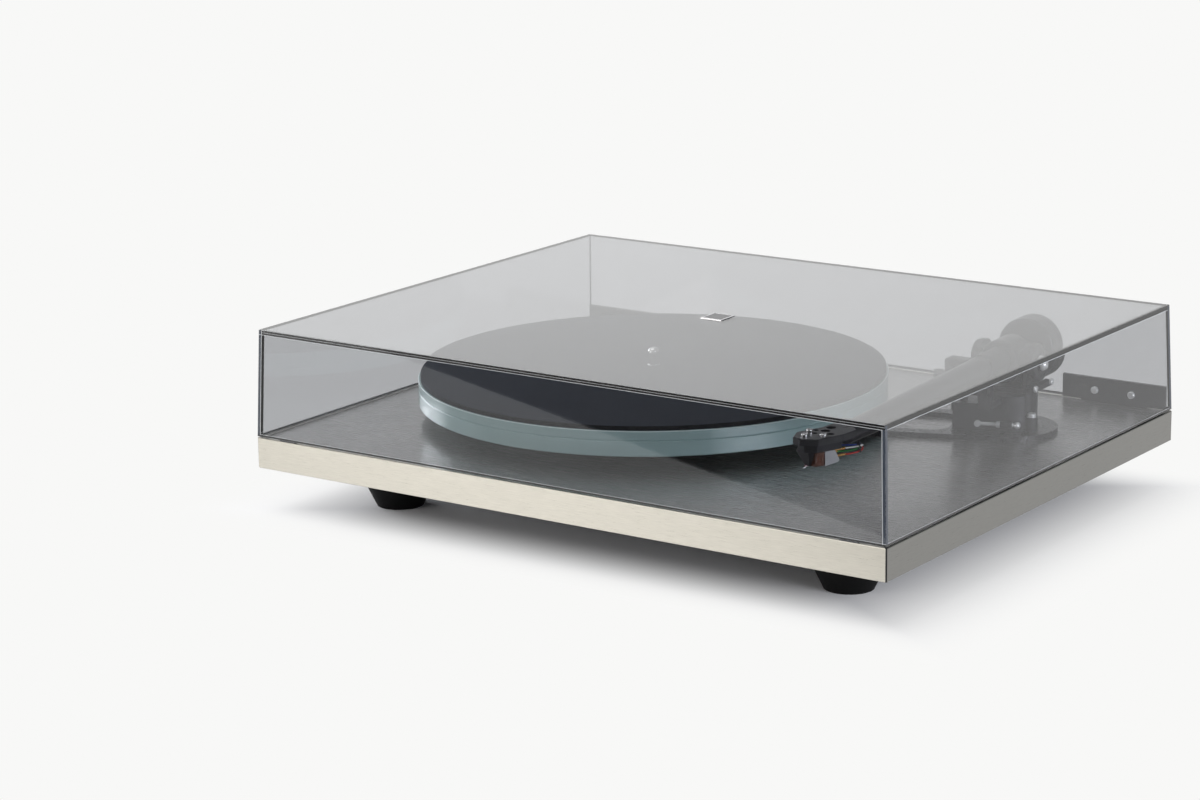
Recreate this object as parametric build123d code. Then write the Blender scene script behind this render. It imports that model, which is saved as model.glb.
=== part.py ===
from build123d import *
from math import atan2, cos, degrees, hypot, pi, radians, sin
import os

# A belt-driven record player with a smoked dust cover.
# Everything is drawn in a deck frame: X to the right, Y to the back, Z up, with zero on the
# deck's top face at the middle of the plinth. save() then moves each piece to the part's own
# frame, whose origin is on the floor under the middle of the whole object.

# ---------------------------------------------------------------- driving dimensions (mm)
WIDTH, DEPTH, PLINTH_T = 448.0, 357.0, 19.3
STRIP_T, CORNER, POST_INSET = 2.5, 0.7, 0.3    # edge strips and the dark post between them
SKIN_T, SKIN_GROOVE = 1.0, 0.8
FOOT_H, FOOT_R_FLOOR, FOOT_R_TOP = 29.3, 14.7, 28.7
FEET = {"foot_front_left": (-163.0, -115.0), "foot_front_right": (163.0, -115.0),
        "foot_rear": (0.0, 128.0)}
STUD_R, STUD_IN, STUD_DOWN = 3.0, 12.0, 16.0
BRACE_T, BRACE_R, WINDOW_HALF = 3.0, 30.5, 21.5
WINDOW_NEAR, WINDOW_FAR, WINDOW_CORNER = 34.0, 165.0, 11.0

HUB = (-52.4, 6.0)             # platter centre
PLATTER_R, GLASS_T, RING_T, RING_BORE_R = 148.0, 6.0, 9.6, 118.0
PLATTER_Z = 9.8                # underside of the lower glass ring
MAT_R, MAT_T = 146.5, 2.8
MAT_TOP = PLATTER_Z + RING_T + GLASS_T + MAT_T
SPINDLE_R, SPINDLE_TOP = 3.6, 39.2
SHOULDER_R, SHOULDER_HOLE_R = 4.2, 4.3
SHAFT_R, SHAFT_END, THRUST_BALL_R = 5.0, -25.95, 2.5
RUNNING = 0.03                 # radial clearance of the plain bearings
HOUSING_R, HOUSING_END, HOUSING_FLANGE_R = 12.5, -33.0, 20.0
SUB_R, SUB_Z0, SUB_Z1, SUB_BOSS_R = 55.0, 4.6, 11.0, 42.0

MOTOR = (-136.4, 58.0)
MOTOR_R, MOTOR_TOP, MOTOR_END = 24.0, -1.6, -24.5
MOTOR_SHAFT_R, PULLEY_R, PULLEY_Z0, PULLEY_Z1 = 1.5, 7.0, 4.4, 10.6
BELT_T, BELT_H, BELT_GAP, BELT_Z = 1.4, 1.4, 0.3, (5.3, 8.3)
SOCKET_X, SOCKET_Z, SOCKET_R, SOCKET_DEEP = -150.0, -9.6, 7.0, 14.0

LID_W, LID_D, LID_GAP, LID_TOP = 447.0, 357.0, 0.86, 68.2
LID_INSET, LID_WALL = 2.4, 3.0
HINGE_X, HINGE_Y, HINGE_Z = 184.0, 183.0, -2.0
KNUCKLE_R, HINGE_PIN_R, KNUCKLE_HALF, KNUCKLE_OUT = 4.0, 1.5, 9.7, 20.0
HINGE_PLATE_HALF, HINGE_FOOT_HALF, HINGE_PLATE_TOP, HINGE_LEAF_TOP = 35.5, 22.5, 16.0, 14.6
HINGE_SCREW_X, HINGE_SCREW_Z = 12.7, 7.9
BADGE = (15.0, 16.0, 0.4)

PIVOT = (157.0, 82.4)          # the arm's vertical axis
ARM_Z = 43.5                   # height of the arm tube's centre line
ARM_PARK, OFFSET = 2.6, 23.93  # degrees: parked arm turned outwards, cartridge turned in
EFFECTIVE = 237.1              # pivot to stylus
STYLUS_Z = 29.0
BASE_R, BASE_TOP, EAR_R, EAR_TOP, EAR_AT = 18.0, 25.0, 3.9, 11.5, 19.2
EAR_TURNS, SHELF_TURN = (-14.0, 70.0, 165.0), 28.0
BLOCK_CORNER, BLOCK_TURN = (133.3, 55.3), 18.8
BLOCK_LONG, BLOCK_DEEP, BLOCK_TOP, LIP_Z, LIP_OUT = 34.0, 24.0, 20.0, 15.0, 1.3
SWING_SHAFT_R, CABLE_HOLE_R, GLAND_R = 5.0, 8.0, 11.0
YOKE_Z0, YOKE_Z1 = 27.3, 30.6
CHEEK_X0, CHEEK_X1, CHEEK_R, EAR_HALF = 13.6, 17.0, 9.8, 13.6
FLANGE_Y0, FLANGE_Y1, FLANGE_OUT = -11.0, 17.0, 21.5    # foot of the cheek under the force dial
CHEEK_SCREW_Y = (-8.2, 14.2)
DIAL_R, DIAL_X0, DIAL_X1, DIAL_BORE_R, PIN_R = 10.3, 17.3, 22.3, 3.05, 1.5
BARREL_R, BARREL_Y0, BARREL_Y1, BARREL_HALF = 12.3, -11.0, 11.5, 13.2
WEIGHT_R, WEIGHT_Y0, WEIGHT_Y1, STUB_R, STUB_END = 18.6, 27.0, 43.5, 4.5, 48.0
TUBE_R = ((-10.0, 8.5), (-50.0, 7.35), (-120.0, 6.5), (-207.0, 5.2))
TUBE_WALL = 1.3
SHELL_Z0, SHELL_Z1 = 1.0, 5.0  # headshell plate, above the tube's centre line
LEAD_PIN_X, LEAD_PIN_END = 3.8, 26.5
LEAD_PIN_ROWS = ((-5.0, 18.2), (-8.6, 20.06))  # height, and where the magnet's back face is
SADDLE_R, SADDLE_Y0, SADDLE_Y1, SADDLE_LEFT, SADDLE_BOTTOM = 8.6, -36.0, -28.5, -24.0, -6.4
LIFT_R0, LIFT_R1, LIFT_Z0, LIFT_Z1, LIFT_STEM_R = 38.0, 44.0, 31.0, 35.3, 2.4
LIFT_STEM, LIFT_WEB_TOP = (5.6, 7.0), 33.8    # the stem's place in the lift housing's frame
LEVER_R, LEVER_BALL_R, LEVER_LONG, LEVER_Z, LEVER_OFF, LEVER_AT = 1.15, 2.2, 24.2, 8.3, 3.2, 16.0

DECK_Z = FOOT_H + PLINTH_T
HINGE_OUT = HINGE_Y + KNUCKLE_R - DEPTH / 2
SHIFT = Pos(0, -HINGE_OUT / 2, DECK_Z)
LOW = (Align.CENTER, Align.CENTER, Align.MIN)
ARM = Pos(PIVOT[0], PIVOT[1], ARM_Z) * Rot(0, 0, ARM_PARK)
# the head frame: zero at the stylus, X across the cartridge, -Y to its front
HEAD = (ARM * Pos(-EFFECTIVE * sin(radians(ARM_PARK)), -EFFECTIVE * cos(radians(ARM_PARK)), 0)
        * Rot(0, 0, -OFFSET))
TIP_Z = STYLUS_Z - ARM_Z


# ---------------------------------------------------------------- small helpers
def save(name, *shapes):
    """Write one node: its solids moved to the part's own frame."""
    moved = [SHIFT * solid for shape in shapes for solid in shape.solids()]
    export_step(moved[0] if len(moved) == 1 else Compound(children=moved), f"parts/{name}.step")


def disc(radius, z0, z1, at=(0, 0)):
    return Pos(at[0], at[1], z0) * Cylinder(radius, z1 - z0, align=LOW)


def slab(x0, x1, y0, y1, z0, z1):
    return Pos((x0 + x1) / 2, (y0 + y1) / 2, z0) * Box(x1 - x0, y1 - y0, z1 - z0, align=LOW)


def rod_x(radius, x0, x1, y=0, z=0):
    return Pos(x0, y, z) * Rot(0, 90, 0) * Cylinder(radius, x1 - x0, align=LOW)


def rod_y(radius, y0, y1, x=0, z=0):
    return Pos(x, y0, z) * Rot(-90, 0, 0) * Cylinder(radius, y1 - y0, align=LOW)


def rod_between(start, end, radius):
    """A round rod from one point to another."""
    way = Vector(*end) - Vector(*start)
    return Plane(origin=start, z_dir=way) * Cylinder(radius, way.length, align=LOW)


def plate(points, z0, z1):
    """A flat plate with straight edges."""
    return Pos(0, 0, z0) * extrude(make_face(Polyline(*points, close=True)), z1 - z0)


def band(centre_a, radius_a, centre_b, radius_b, z0, z1):
    """The solid that a tight band round two discs encloses."""
    dx, dy = centre_b[0] - centre_a[0], centre_b[1] - centre_a[1]
    lean = atan2(hypot(dx, dy), radius_a - radius_b)
    corners = []
    for centre, radius, side in ((centre_a, radius_a, 1), (centre_b, radius_b, 1),
                                 (centre_b, radius_b, -1), (centre_a, radius_a, -1)):
        turn = atan2(dy, dx) + side * lean
        corners.append((centre[0] + radius * cos(turn), centre[1] + radius * sin(turn)))
    return (plate(corners, z0, z1)
            + disc(radius_a, z0, z1, centre_a) + disc(radius_b, z0, z1, centre_b))


def frame_plate(points, plane, thick):
    """A flat plate drawn in another plane, grown along that plane's normal."""
    return extrude(plane * make_face(Polyline(*points, close=True)), thick)


# ---------------------------------------------------------------- plinth
def plinth_core():
    """Light black core with corner posts, bored for the bearing, motor, arm and feet."""
    bottom, top = SKIN_T - PLINTH_T, -SKIN_T
    x_in, y_in = WIDTH / 2 - STRIP_T, DEPTH / 2 - STRIP_T
    core = slab(-x_in, x_in, -y_in, y_in, bottom, top)
    for sx in (-1, 1):
        for sy in (-1, 1):
            core += plate([(sx * (x_in - CORNER), sy * y_in),
                           (sx * (WIDTH / 2 - CORNER - POST_INSET), sy * (DEPTH / 2 - POST_INSET)),
                           (sx * (WIDTH / 2 - POST_INSET), sy * (DEPTH / 2 - CORNER - POST_INSET)),
                           (sx * x_in, sy * (y_in - CORNER))], -PLINTH_T, 0)
    core -= disc(HOUSING_R, bottom, top, HUB)
    core -= disc(MOTOR_R + 1.5, bottom, top, MOTOR)
    core -= disc(CABLE_HOLE_R, bottom, top, PIVOT)
    core -= rod_y(SOCKET_R, y_in - SOCKET_DEEP, y_in, SOCKET_X, SOCKET_Z)
    for at in FEET.values():
        core -= disc(STUD_R, bottom, bottom + STUD_IN - SKIN_T, at)
    return core


def skin(z0, z1):
    """One face sheet of the sandwich, short of the strips by a fine dark groove."""
    x_out, y_out = (side / 2 - STRIP_T - SKIN_GROOVE for side in (WIDTH, DEPTH))
    sheet = slab(-x_out, x_out, -y_out, y_out, z0, z1)
    sheet -= disc(HOUSING_R, z0, z1, HUB)
    return sheet - disc(CABLE_HOLE_R, z0, z1, PIVOT)


def edge_strip(long_side, offset, turn):
    """A bevelled metal strip with mitred ends, on one side of the plinth."""
    half = long_side / 2 - CORNER
    points = [(-half, 0), (half, 0), (half - STRIP_T, STRIP_T), (STRIP_T - half, STRIP_T)]
    strip = plate(points, -PLINTH_T, 0)
    outer = strip.edges().filter_by(Axis.X).group_by(Axis.Y)[0]
    strip = chamfer(outer, 0.35)
    return Rot(0, 0, turn) * Pos(0, -offset, 0) * strip


def brace(z0, z1, windowed):
    """Stiffening plate from the platter bearing to the arm, with an open window."""
    body = band(PIVOT, BRACE_R, HUB, BRACE_R, z0, z1)
    body -= disc(HOUSING_R, z0, z1, HUB)
    body -= disc(CABLE_HOLE_R, z0, z1, PIVOT)
    if windowed:
        heading = degrees(atan2(HUB[1] - PIVOT[1], HUB[0] - PIVOT[0]))
        middle = (WINDOW_NEAR + WINDOW_FAR) / 2
        window = Rot(0, 0, heading) * Pos(middle, 0, 0) * RectangleRounded(
            WINDOW_FAR - WINDOW_NEAR, 2 * WINDOW_HALF, WINDOW_CORNER)
        body -= Pos(PIVOT[0], PIVOT[1], z0) * extrude(window, z1 - z0)
    return body


def foot(at):
    """Conical foot: narrow on the floor, wide under the plinth, with a bore for its stud."""
    cone = Pos(at[0], at[1], -DECK_Z) * Cone(FOOT_R_FLOOR, FOOT_R_TOP, FOOT_H, align=LOW)
    return cone - disc(STUD_R, -PLINTH_T - STUD_DOWN, -PLINTH_T, at)


def stud(at):
    return disc(STUD_R, -PLINTH_T - STUD_DOWN, STUD_IN - PLINTH_T, at)


# ---------------------------------------------------------------- bearing, platter and drive
def bearing_housing():
    flange = disc(HOUSING_FLANGE_R, BRACE_T, BRACE_T + 1, HUB)
    tube = disc(HOUSING_R, HOUSING_END, BRACE_T, HUB)
    return flange + tube - disc(SHAFT_R + RUNNING, HOUSING_END + 2, BRACE_T + 1, HUB)


def sub_platter():
    """Driven disc with a raised boss that carries the glass."""
    body = disc(SUB_R, SUB_Z0, SUB_Z1, HUB) + disc(SUB_BOSS_R, SUB_Z1, PLATTER_Z + RING_T, HUB)
    return body - disc(SHAFT_R, SUB_Z0, PLATTER_Z + RING_T, HUB)


def spindle():
    """Hardened shaft below, a shoulder through the glass and the mat, then the record spindle."""
    shaft = disc(SHAFT_R, SHAFT_END, PLATTER_Z + RING_T, HUB)
    shaft += disc(SHOULDER_R, PLATTER_Z + RING_T, MAT_TOP, HUB)
    pin = disc(SPINDLE_R, MAT_TOP, SPINDLE_TOP, HUB)
    tip = pin.edges().filter_by(GeomType.CIRCLE).group_by(Axis.Z)[-1]
    return shaft + fillet(tip, SPINDLE_R - 0.6)


def glass_disc():
    z0 = PLATTER_Z + RING_T
    glass = disc(PLATTER_R, z0, z0 + GLASS_T, HUB)
    rims = glass.edges().filter_by(GeomType.CIRCLE)
    return chamfer(rims, 0.5) - disc(SHOULDER_HOLE_R, z0, z0 + GLASS_T, HUB)


def glass_ring():
    ring = disc(PLATTER_R, PLATTER_Z, PLATTER_Z + RING_T, HUB)
    rims = ring.edges().filter_by(GeomType.CIRCLE)
    return chamfer(rims, 0.5) - disc(RING_BORE_R, PLATTER_Z, PLATTER_Z + RING_T, HUB)


def mat():
    z0 = MAT_TOP - MAT_T
    return disc(MAT_R, z0, MAT_TOP, HUB) - disc(SHOULDER_HOLE_R, z0, MAT_TOP, HUB)


def belt(z0):
    gap, outside = BELT_GAP, BELT_GAP + BELT_T
    outer = band(HUB, SUB_R + outside, MOTOR, PULLEY_R + outside, z0, z0 + BELT_H)
    return outer - band(HUB, SUB_R + gap, MOTOR, PULLEY_R + gap, z0, z0 + BELT_H)


def motor_body():
    can = disc(MOTOR_R, MOTOR_END, MOTOR_TOP, MOTOR)
    return can - disc(MOTOR_SHAFT_R + RUNNING, MOTOR_END + 3, MOTOR_TOP, MOTOR)


def pulley():
    """Two-step pulley with a flange between the belts."""
    body = disc(PULLEY_R, PULLEY_Z0, PULLEY_Z1, MOTOR)
    return body - disc(MOTOR_SHAFT_R, PULLEY_Z0, PULLEY_Z1, MOTOR)


def power_socket():
    """Round five-pin low-voltage inlet in the rear edge."""
    back = DEPTH / 2
    shell = rod_y(SOCKET_R, back - STRIP_T - SOCKET_DEEP, back, SOCKET_X, SOCKET_Z)
    shell -= rod_y(SOCKET_R - 1.5, back - 8, back, SOCKET_X, SOCKET_Z)
    for step in range(5):
        turn = radians(45 * step)
        shell += rod_y(0.6, back - 8, back - 2, SOCKET_X + 3.2 * cos(turn),
                       SOCKET_Z + 3.2 * sin(turn))
    return shell


# ---------------------------------------------------------------- dust cover and hinges
def lid_block(grow, top):
    """Solid with the cover's draft: grow moves every side out or in."""
    height = top - LID_GAP
    lean = degrees(atan2(LID_INSET, LID_TOP - LID_GAP))
    profile = Rectangle(LID_W + 2 * grow, LID_D + 2 * grow)
    return Pos(0, 0, LID_GAP) * extrude(profile, height, taper=lean)


def dust_cover():
    return lid_block(0, LID_TOP) - lid_block(-LID_WALL, LID_TOP - LID_WALL)


def hinge_screw(x):
    """One cover screw: a pan head inside the cover and a shank through wall and leaf."""
    wall = LID_D / 2 - LID_WALL
    head = rod_y(2.4, wall - 5.0, wall - 3.0, x, HINGE_SCREW_Z)
    head = fillet(head.edges().filter_by(GeomType.CIRCLE).group_by(Axis.Y)[0], 0.9)
    return head + rod_y(1.5, wall - 3.0, LID_D / 2 + 1.5, x, HINGE_SCREW_Z)


def hinge_plate(x):
    """Clamp plate inside the rear wall, its middle reaching down to the deck."""
    wall = LID_D / 2 - LID_WALL
    body = slab(x - HINGE_PLATE_HALF, x + HINGE_PLATE_HALF, wall - 3, wall, 1.2, HINGE_PLATE_TOP)
    body += slab(x - HINGE_FOOT_HALF, x + HINGE_FOOT_HALF, wall - 3, wall, 0.3, 1.2)
    return body - INNER_WALL


def hinge_leaf(x):
    """Outer leaf with its knuckle, behind the rear wall."""
    back = LID_D / 2
    body = slab(x - HINGE_FOOT_HALF, x + HINGE_FOOT_HALF, back - 1, back + 2.4, 2.7,
                HINGE_LEAF_TOP)
    web = slab(x - KNUCKLE_HALF, x + KNUCKLE_HALF, back + 0.6, back + 2.4, HINGE_Z, 2.7)
    knuckle = rod_x(KNUCKLE_R, x - KNUCKLE_HALF, x + KNUCKLE_HALF, HINGE_Y, HINGE_Z)
    body += web + knuckle
    return body - rod_x(HINGE_PIN_R + RUNNING, x - 30, x + 30, HINGE_Y, HINGE_Z) - OUTER_WALL


def hinge_base(x):
    """Bracket on the rear strip with a knuckle on each side of the leaf's own."""
    back = DEPTH / 2
    body = slab(x - KNUCKLE_OUT, x + KNUCKLE_OUT, back, back + 2.4, -17.5, -6.5)
    for side in (-1, 1):
        near, far = sorted((x + side * (KNUCKLE_HALF + 0.3), x + side * KNUCKLE_OUT))
        body += rod_x(KNUCKLE_R, near, far, HINGE_Y, HINGE_Z)
        body += slab(near, far, back + 0.6, back + 4.4, -6.5, HINGE_Z - 2)
    return body - rod_x(HINGE_PIN_R, x - 30, x + 30, HINGE_Y, HINGE_Z)


def hinge_pin(x):
    return rod_x(HINGE_PIN_R, x - KNUCKLE_OUT, x + KNUCKLE_OUT, HINGE_Y, HINGE_Z)


def lid_bumper(x, y):
    return slab(x - 6, x + 6, y - 1.2, y + 1.2, 0.0, LID_GAP)


def badge():
    """Blank plaque in the middle of the cover, with a raised rim."""
    wide, deep, thick = BADGE
    body = Box(wide, deep, thick, align=LOW)
    body -= Pos(0, 0, thick / 2) * Box(wide - 2, deep - 2, thick, align=LOW)
    return Pos(0, 0, LID_TOP) * body


# ---------------------------------------------------------------- arm base, lift and lever
def block_frame():
    """Front left corner of the base's lift housing, its X along the housing's front."""
    return Pos(BLOCK_CORNER[0], BLOCK_CORNER[1], 0) * Rot(0, 0, BLOCK_TURN)


def ear_places():
    return [(PIVOT[0] + EAR_AT * cos(radians(turn)), PIVOT[1] + EAR_AT * sin(radians(turn)))
            for turn in EAR_TURNS]


def arm_base():
    """Casting: round bearing tower, lift housing with an overhanging lip, three screw ears."""
    tower = disc(BASE_R, BRACE_T, BASE_TOP, PIVOT)
    tower = fillet(tower.edges().filter_by(GeomType.CIRCLE).group_by(Axis.Z)[-1], 1.2)
    housing = slab(0, BLOCK_LONG, 0, BLOCK_DEEP, BRACE_T, LIP_Z)
    lip = slab(-LIP_OUT, BLOCK_LONG, -LIP_OUT / 2, BLOCK_DEEP, LIP_Z, BLOCK_TOP)
    uprights = lip.edges().filter_by(Axis.Z).sort_by(Axis.X)[:2]
    lip = fillet(uprights, 3.0)
    body = tower + block_frame() * (housing + lip)
    for at in ear_places():
        body += disc(EAR_R, BRACE_T, EAR_TOP, at)
        body -= disc(EAR_R + 0.6, EAR_TOP, BASE_TOP, at)
    body -= disc(SWING_SHAFT_R + RUNNING, BRACE_T, BASE_TOP, PIVOT)
    body -= block_frame() * disc(LIFT_STEM_R + 0.05, BRACE_T + 1, BLOCK_TOP, LIFT_STEM)
    return body - lever_axle(RUNNING)


def ear_screw(at):
    """Socket screw in an ear: a head with its hexagon recess."""
    head = disc(2.9, EAR_TOP, EAR_TOP + 2.4, at)
    head = fillet(head.edges().filter_by(GeomType.CIRCLE).group_by(Axis.Z)[-1], 0.8)
    recess = Pos(at[0], at[1], EAR_TOP + 1.0) * extrude(RegularPolygon(1.4, 6), 2)
    return head - recess


def arm_rest():
    """Bracket on the front of the tower whose post ends in a low saddle under the tube."""
    arm = slab(-4, 4, -34, -16, BASE_TOP - 5 - ARM_Z, BASE_TOP - ARM_Z)
    post = slab(-4, 4, -34.5, -29.5, BASE_TOP - ARM_Z, -SADDLE_R - 0.5)
    bracket = ARM * (arm + post)
    return bracket - disc(BASE_R, 0, BASE_TOP, PIVOT) - block_frame() * slab(
        -LIP_OUT, BLOCK_LONG, -LIP_OUT, BLOCK_DEEP, 0, BLOCK_TOP)


def lift_platform():
    """Curved bar under the tube's path, on a stem that rises out of the housing."""
    ring = disc(LIFT_R1, LIFT_Z0, LIFT_Z1) - disc(LIFT_R0, LIFT_Z0, LIFT_Z1)
    reach = 80.0
    ends = [radians(-90 + 11.0), radians(-90 - 62.0)]
    fan = [(0, 0)] + [(reach * cos(a), reach * sin(a)) for a in
                      (ends[0], (ends[0] + ends[1]) / 2, ends[1])]
    bar = Pos(PIVOT[0], PIVOT[1], 0) * (ring & plate(fan, LIFT_Z0, LIFT_Z1))
    stem_at = (block_frame() * Pos(LIFT_STEM[0], LIFT_STEM[1], 0)).position
    away = Vector(stem_at.X - PIVOT[0], stem_at.Y - PIVOT[1], 0)
    heading = degrees(atan2(away.Y, away.X))
    web = Pos(PIVOT[0], PIVOT[1], 0) * Rot(0, 0, heading) * slab(
        away.length, LIFT_R0 + 2, -2.2, 2.2, LIFT_Z0, LIFT_WEB_TOP)
    stem = disc(LIFT_STEM_R, BRACE_T + 3, LIFT_WEB_TOP, (stem_at.X, stem_at.Y))
    return bar + web + stem


def lever_axle(extra=0.0):
    """The lever's axle, square to the housing's front face."""
    return block_frame() * rod_y(1.2 + extra, -LEVER_OFF, 6.0, LEVER_AT, LEVER_Z)


def cue_lever():
    """Bright rod, collar, dark grip and ball, lying along the housing's front face."""
    grip, ball = 12.0, LEVER_LONG
    rod = rod_x(LEVER_R, 0, ball)
    collar = rod_x(2.0, 11.5, 13.5)
    sleeve = rod_x(1.8, 13.5, 21.5)
    for step in range(4):
        sleeve -= rod_x(3.0, 14.8 + 1.7 * step, 15.3 + 1.7 * step) - rod_x(1.45, grip, ball)
    body = rod + collar + sleeve + Pos(ball, 0, 0) * Sphere(LEVER_BALL_R)
    eye = rod_y(2.0, -1.2, 1.2)
    lever = block_frame() * Pos(LEVER_AT, -LEVER_OFF, LEVER_Z) * (body + eye)
    return lever + lever_axle()


def bias_shelf():
    """Shelf behind the tower with a groove for the bias slider."""
    shelf = slab(-9, 9, 15.0, 25.0, BRACE_T, 12.0)
    groove = slab(-8, 8, 20.0, 23.0, 9.0, 12.0)
    return Pos(PIVOT[0], PIVOT[1], 0) * Rot(0, 0, SHELF_TURN) * (shelf - groove)


def bias_slider():
    """Small knob that slides across in the shelf's groove."""
    tongue = slab(-2, 2, 20.2, 22.8, 9.2, 12.4)
    knob = slab(-1.5, 1.5, 19.2, 23.8, 12.4, 15.0)
    return Pos(PIVOT[0], PIVOT[1], 0) * Rot(0, 0, SHELF_TURN) * (tongue + knob)


def cable_gland():
    """Collar under the plinth where the signal leads leave."""
    z0 = -PLINTH_T - BRACE_T
    collar = disc(GLAND_R, z0 - 5, z0, PIVOT)
    return collar - disc(4.0, z0 - 5, z0, PIVOT)


# ---------------------------------------------------------------- arm
def cheek(side):
    """One side of the yoke: a round top about the pivot and a foot with two screw ears."""
    z0, z1 = YOKE_Z0 - ARM_Z, YOKE_Z1 - ARM_Z
    outline = [(-EAR_HALF, z0), (EAR_HALF, z0), (EAR_HALF, z1), (CHEEK_R, z1 + 2),
               (CHEEK_R, 0), (-CHEEK_R, 0), (-CHEEK_R, z1 + 2), (-EAR_HALF, z1)]
    near, far = sorted((side * CHEEK_X0, side * CHEEK_X1))
    body = frame_plate(outline, Plane.YZ.offset(near), far - near) + rod_x(CHEEK_R, near, far)
    return body


def bearing_yoke():
    """Cradle that swings on the vertical axis and holds the pivot pins."""
    z0, z1 = YOKE_Z0 - ARM_Z, YOKE_Z1 - ARM_Z
    floor = slab(-CHEEK_X1, CHEEK_X1, -EAR_HALF, EAR_HALF, z0, z1)
    body = floor + cheek(-1) + cheek(1)
    body += slab(CHEEK_X1, FLANGE_OUT, FLANGE_Y0, FLANGE_Y1, z0, z1)
    body += rod_x(DIAL_BORE_R - 0.05, CHEEK_X1, DIAL_X1 + 0.3)
    left_cap = rod_x(CHEEK_R - 0.6, -CHEEK_X1 - 3.2, -CHEEK_X1)
    left_cap = fillet(left_cap.edges().filter_by(GeomType.CIRCLE).group_by(Axis.X)[0], 2.0)
    body += left_cap
    body -= rod_x(PIN_R + RUNNING, -CHEEK_X1 - 0.5, CHEEK_X1 + 0.5)
    return ARM * body


def vertical_spindle():
    return disc(SWING_SHAFT_R, BRACE_T + 1, YOKE_Z0, PIVOT)


def cheek_screw(y):
    """Small screw in the flange of the outer cheek."""
    z = (YOKE_Z0 + YOKE_Z1) / 2 - ARM_Z + 0.9
    head = rod_x(2.1, FLANGE_OUT, FLANGE_OUT + 1.8, y, z)
    head = fillet(head.edges().filter_by(GeomType.CIRCLE).group_by(Axis.X)[-1], 0.9)
    recess = rod_x(0.8, FLANGE_OUT + 1.1, FLANGE_OUT + 1.8, y, z)
    return ARM * (head - recess)


def dial_cap():
    """Domed screw at the middle of the force dial."""
    ball = Sphere(3.6) & slab(0, 4, -4, 4, -4, 4)
    return ARM * Pos(DIAL_X1 + 0.3, 0, 0) * ball


def force_dial():
    """Knurled dial for the tracking force, free to turn on the yoke's boss."""
    body = rod_x(DIAL_R, DIAL_X0, DIAL_X1)
    body = fillet(body.edges().filter_by(GeomType.CIRCLE).group_by(Axis.X)[-1], 1.2)
    count = 36
    for step in range(count):
        turn = 2 * pi * step / count
        body -= rod_x(0.35, DIAL_X0, DIAL_X1 - 1.4, DIAL_R * cos(turn), DIAL_R * sin(turn))
    body -= rod_x(7.6, DIAL_X1 - 0.6, DIAL_X1) - rod_x(4.6, DIAL_X1 - 0.6, DIAL_X1)
    return ARM * (body - rod_x(DIAL_BORE_R, DIAL_X0, DIAL_X1))


def bearing_barrel():
    """Round body at the pivot that joins tube and stub and carries the pins."""
    body = rod_y(BARREL_R, BARREL_Y0, BARREL_Y1)
    body = fillet(body.edges().filter_by(GeomType.CIRCLE), 1.5)
    body += rod_x(6.5, -BARREL_HALF, BARREL_HALF)
    return ARM * (body - rod_x(PIN_R, -BARREL_HALF, BARREL_HALF)
                  - rod_y(TUBE_R[0][1] - TUBE_WALL, BARREL_Y0, TUBE_R[0][0]))


def pivot_pins():
    pins = [rod_x(PIN_R, *sorted((side * 6.0, side * (CHEEK_X1 + 0.3)))) for side in (-1, 1)]
    return [ARM * pin for pin in pins]


def tapered_tube(inside):
    """Stack of cones along the arm's axis, all made thinner by inside."""
    body = None
    for (near, radius0), (far, radius1) in zip(TUBE_R, TUBE_R[1:]):
        cone = Pos(0, near, 0) * Rot(90, 0, 0) * Cone(radius0 - inside, radius1 - inside,
                                                      near - far, align=LOW)
        body = cone if body is None else body + cone
    return body


def arm_tube():
    """One casting: hollow tapered tube and the flat headshell at its end."""
    end_y, end_r = TUBE_R[-1]
    tube = tapered_tube(0) + Pos(0, end_y, 0) * Sphere(end_r)
    tube -= rod_y(BARREL_R, BARREL_Y0, BARREL_Y1)
    hollow = tapered_tube(TUBE_WALL) & slab(-20, 20, end_y + 8, 0, -20, 20)
    shell_points = [(-3, -4.6), (3, -4.6), (10.2, 3.2), (10.2, 21), (6.4, 33), (-8.5, 40),
                    (-14.5, 35), (-10.2, 21), (-10.2, 3.2)]
    shell = plate(shell_points, SHELL_Z0, SHELL_Z1)
    shell = chamfer(shell.faces().sort_by(Axis.Z)[-1].edges(), 0.5)
    for x, y, radius in SHELL_HOLES:
        shell -= disc(radius, SHELL_Z0, SHELL_Z1, (x, y))
    body = ARM * (tube - hollow) + HEAD * shell
    return body - ARM * hollow


# across, back and radius of each hole through the headshell plate, screws first
CARTRIDGE_SCREWS = ((-6.35, 9.5), (6.35, 9.5), (0.0, 1.3))
SHELL_HOLES = tuple((x, y, 1.3) for x, y in CARTRIDGE_SCREWS) + (
    (-1.7, 9.8, 1.6), (5.0, 15.6, 2.3), (-2.2, 17.6, 2.9), (-6.6, 14.6, 1.7), (-6.0, 24.5, 2.9))


def rest_saddle():
    """Collar on the tube with an ear to the left, held by one small screw."""
    collar = rod_y(SADDLE_R, SADDLE_Y0, SADDLE_Y1)
    ear = slab(SADDLE_LEFT, 0, SADDLE_Y0, SADDLE_Y1, SADDLE_BOTTOM, 4.2)
    uprights = ear.edges().filter_by(Axis.Y).sort_by(Axis.X)[:2]
    ear = fillet(uprights, 2.2)
    screw = rod_y(1.5, SADDLE_Y0 - 1.0, SADDLE_Y0, SADDLE_LEFT + 4.0, -0.6)
    body = collar + ear + screw
    return ARM * (body - tapered_tube(0))


def counterweight_stub():
    return ARM * rod_y(STUB_R, BARREL_Y1, STUB_END)


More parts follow.
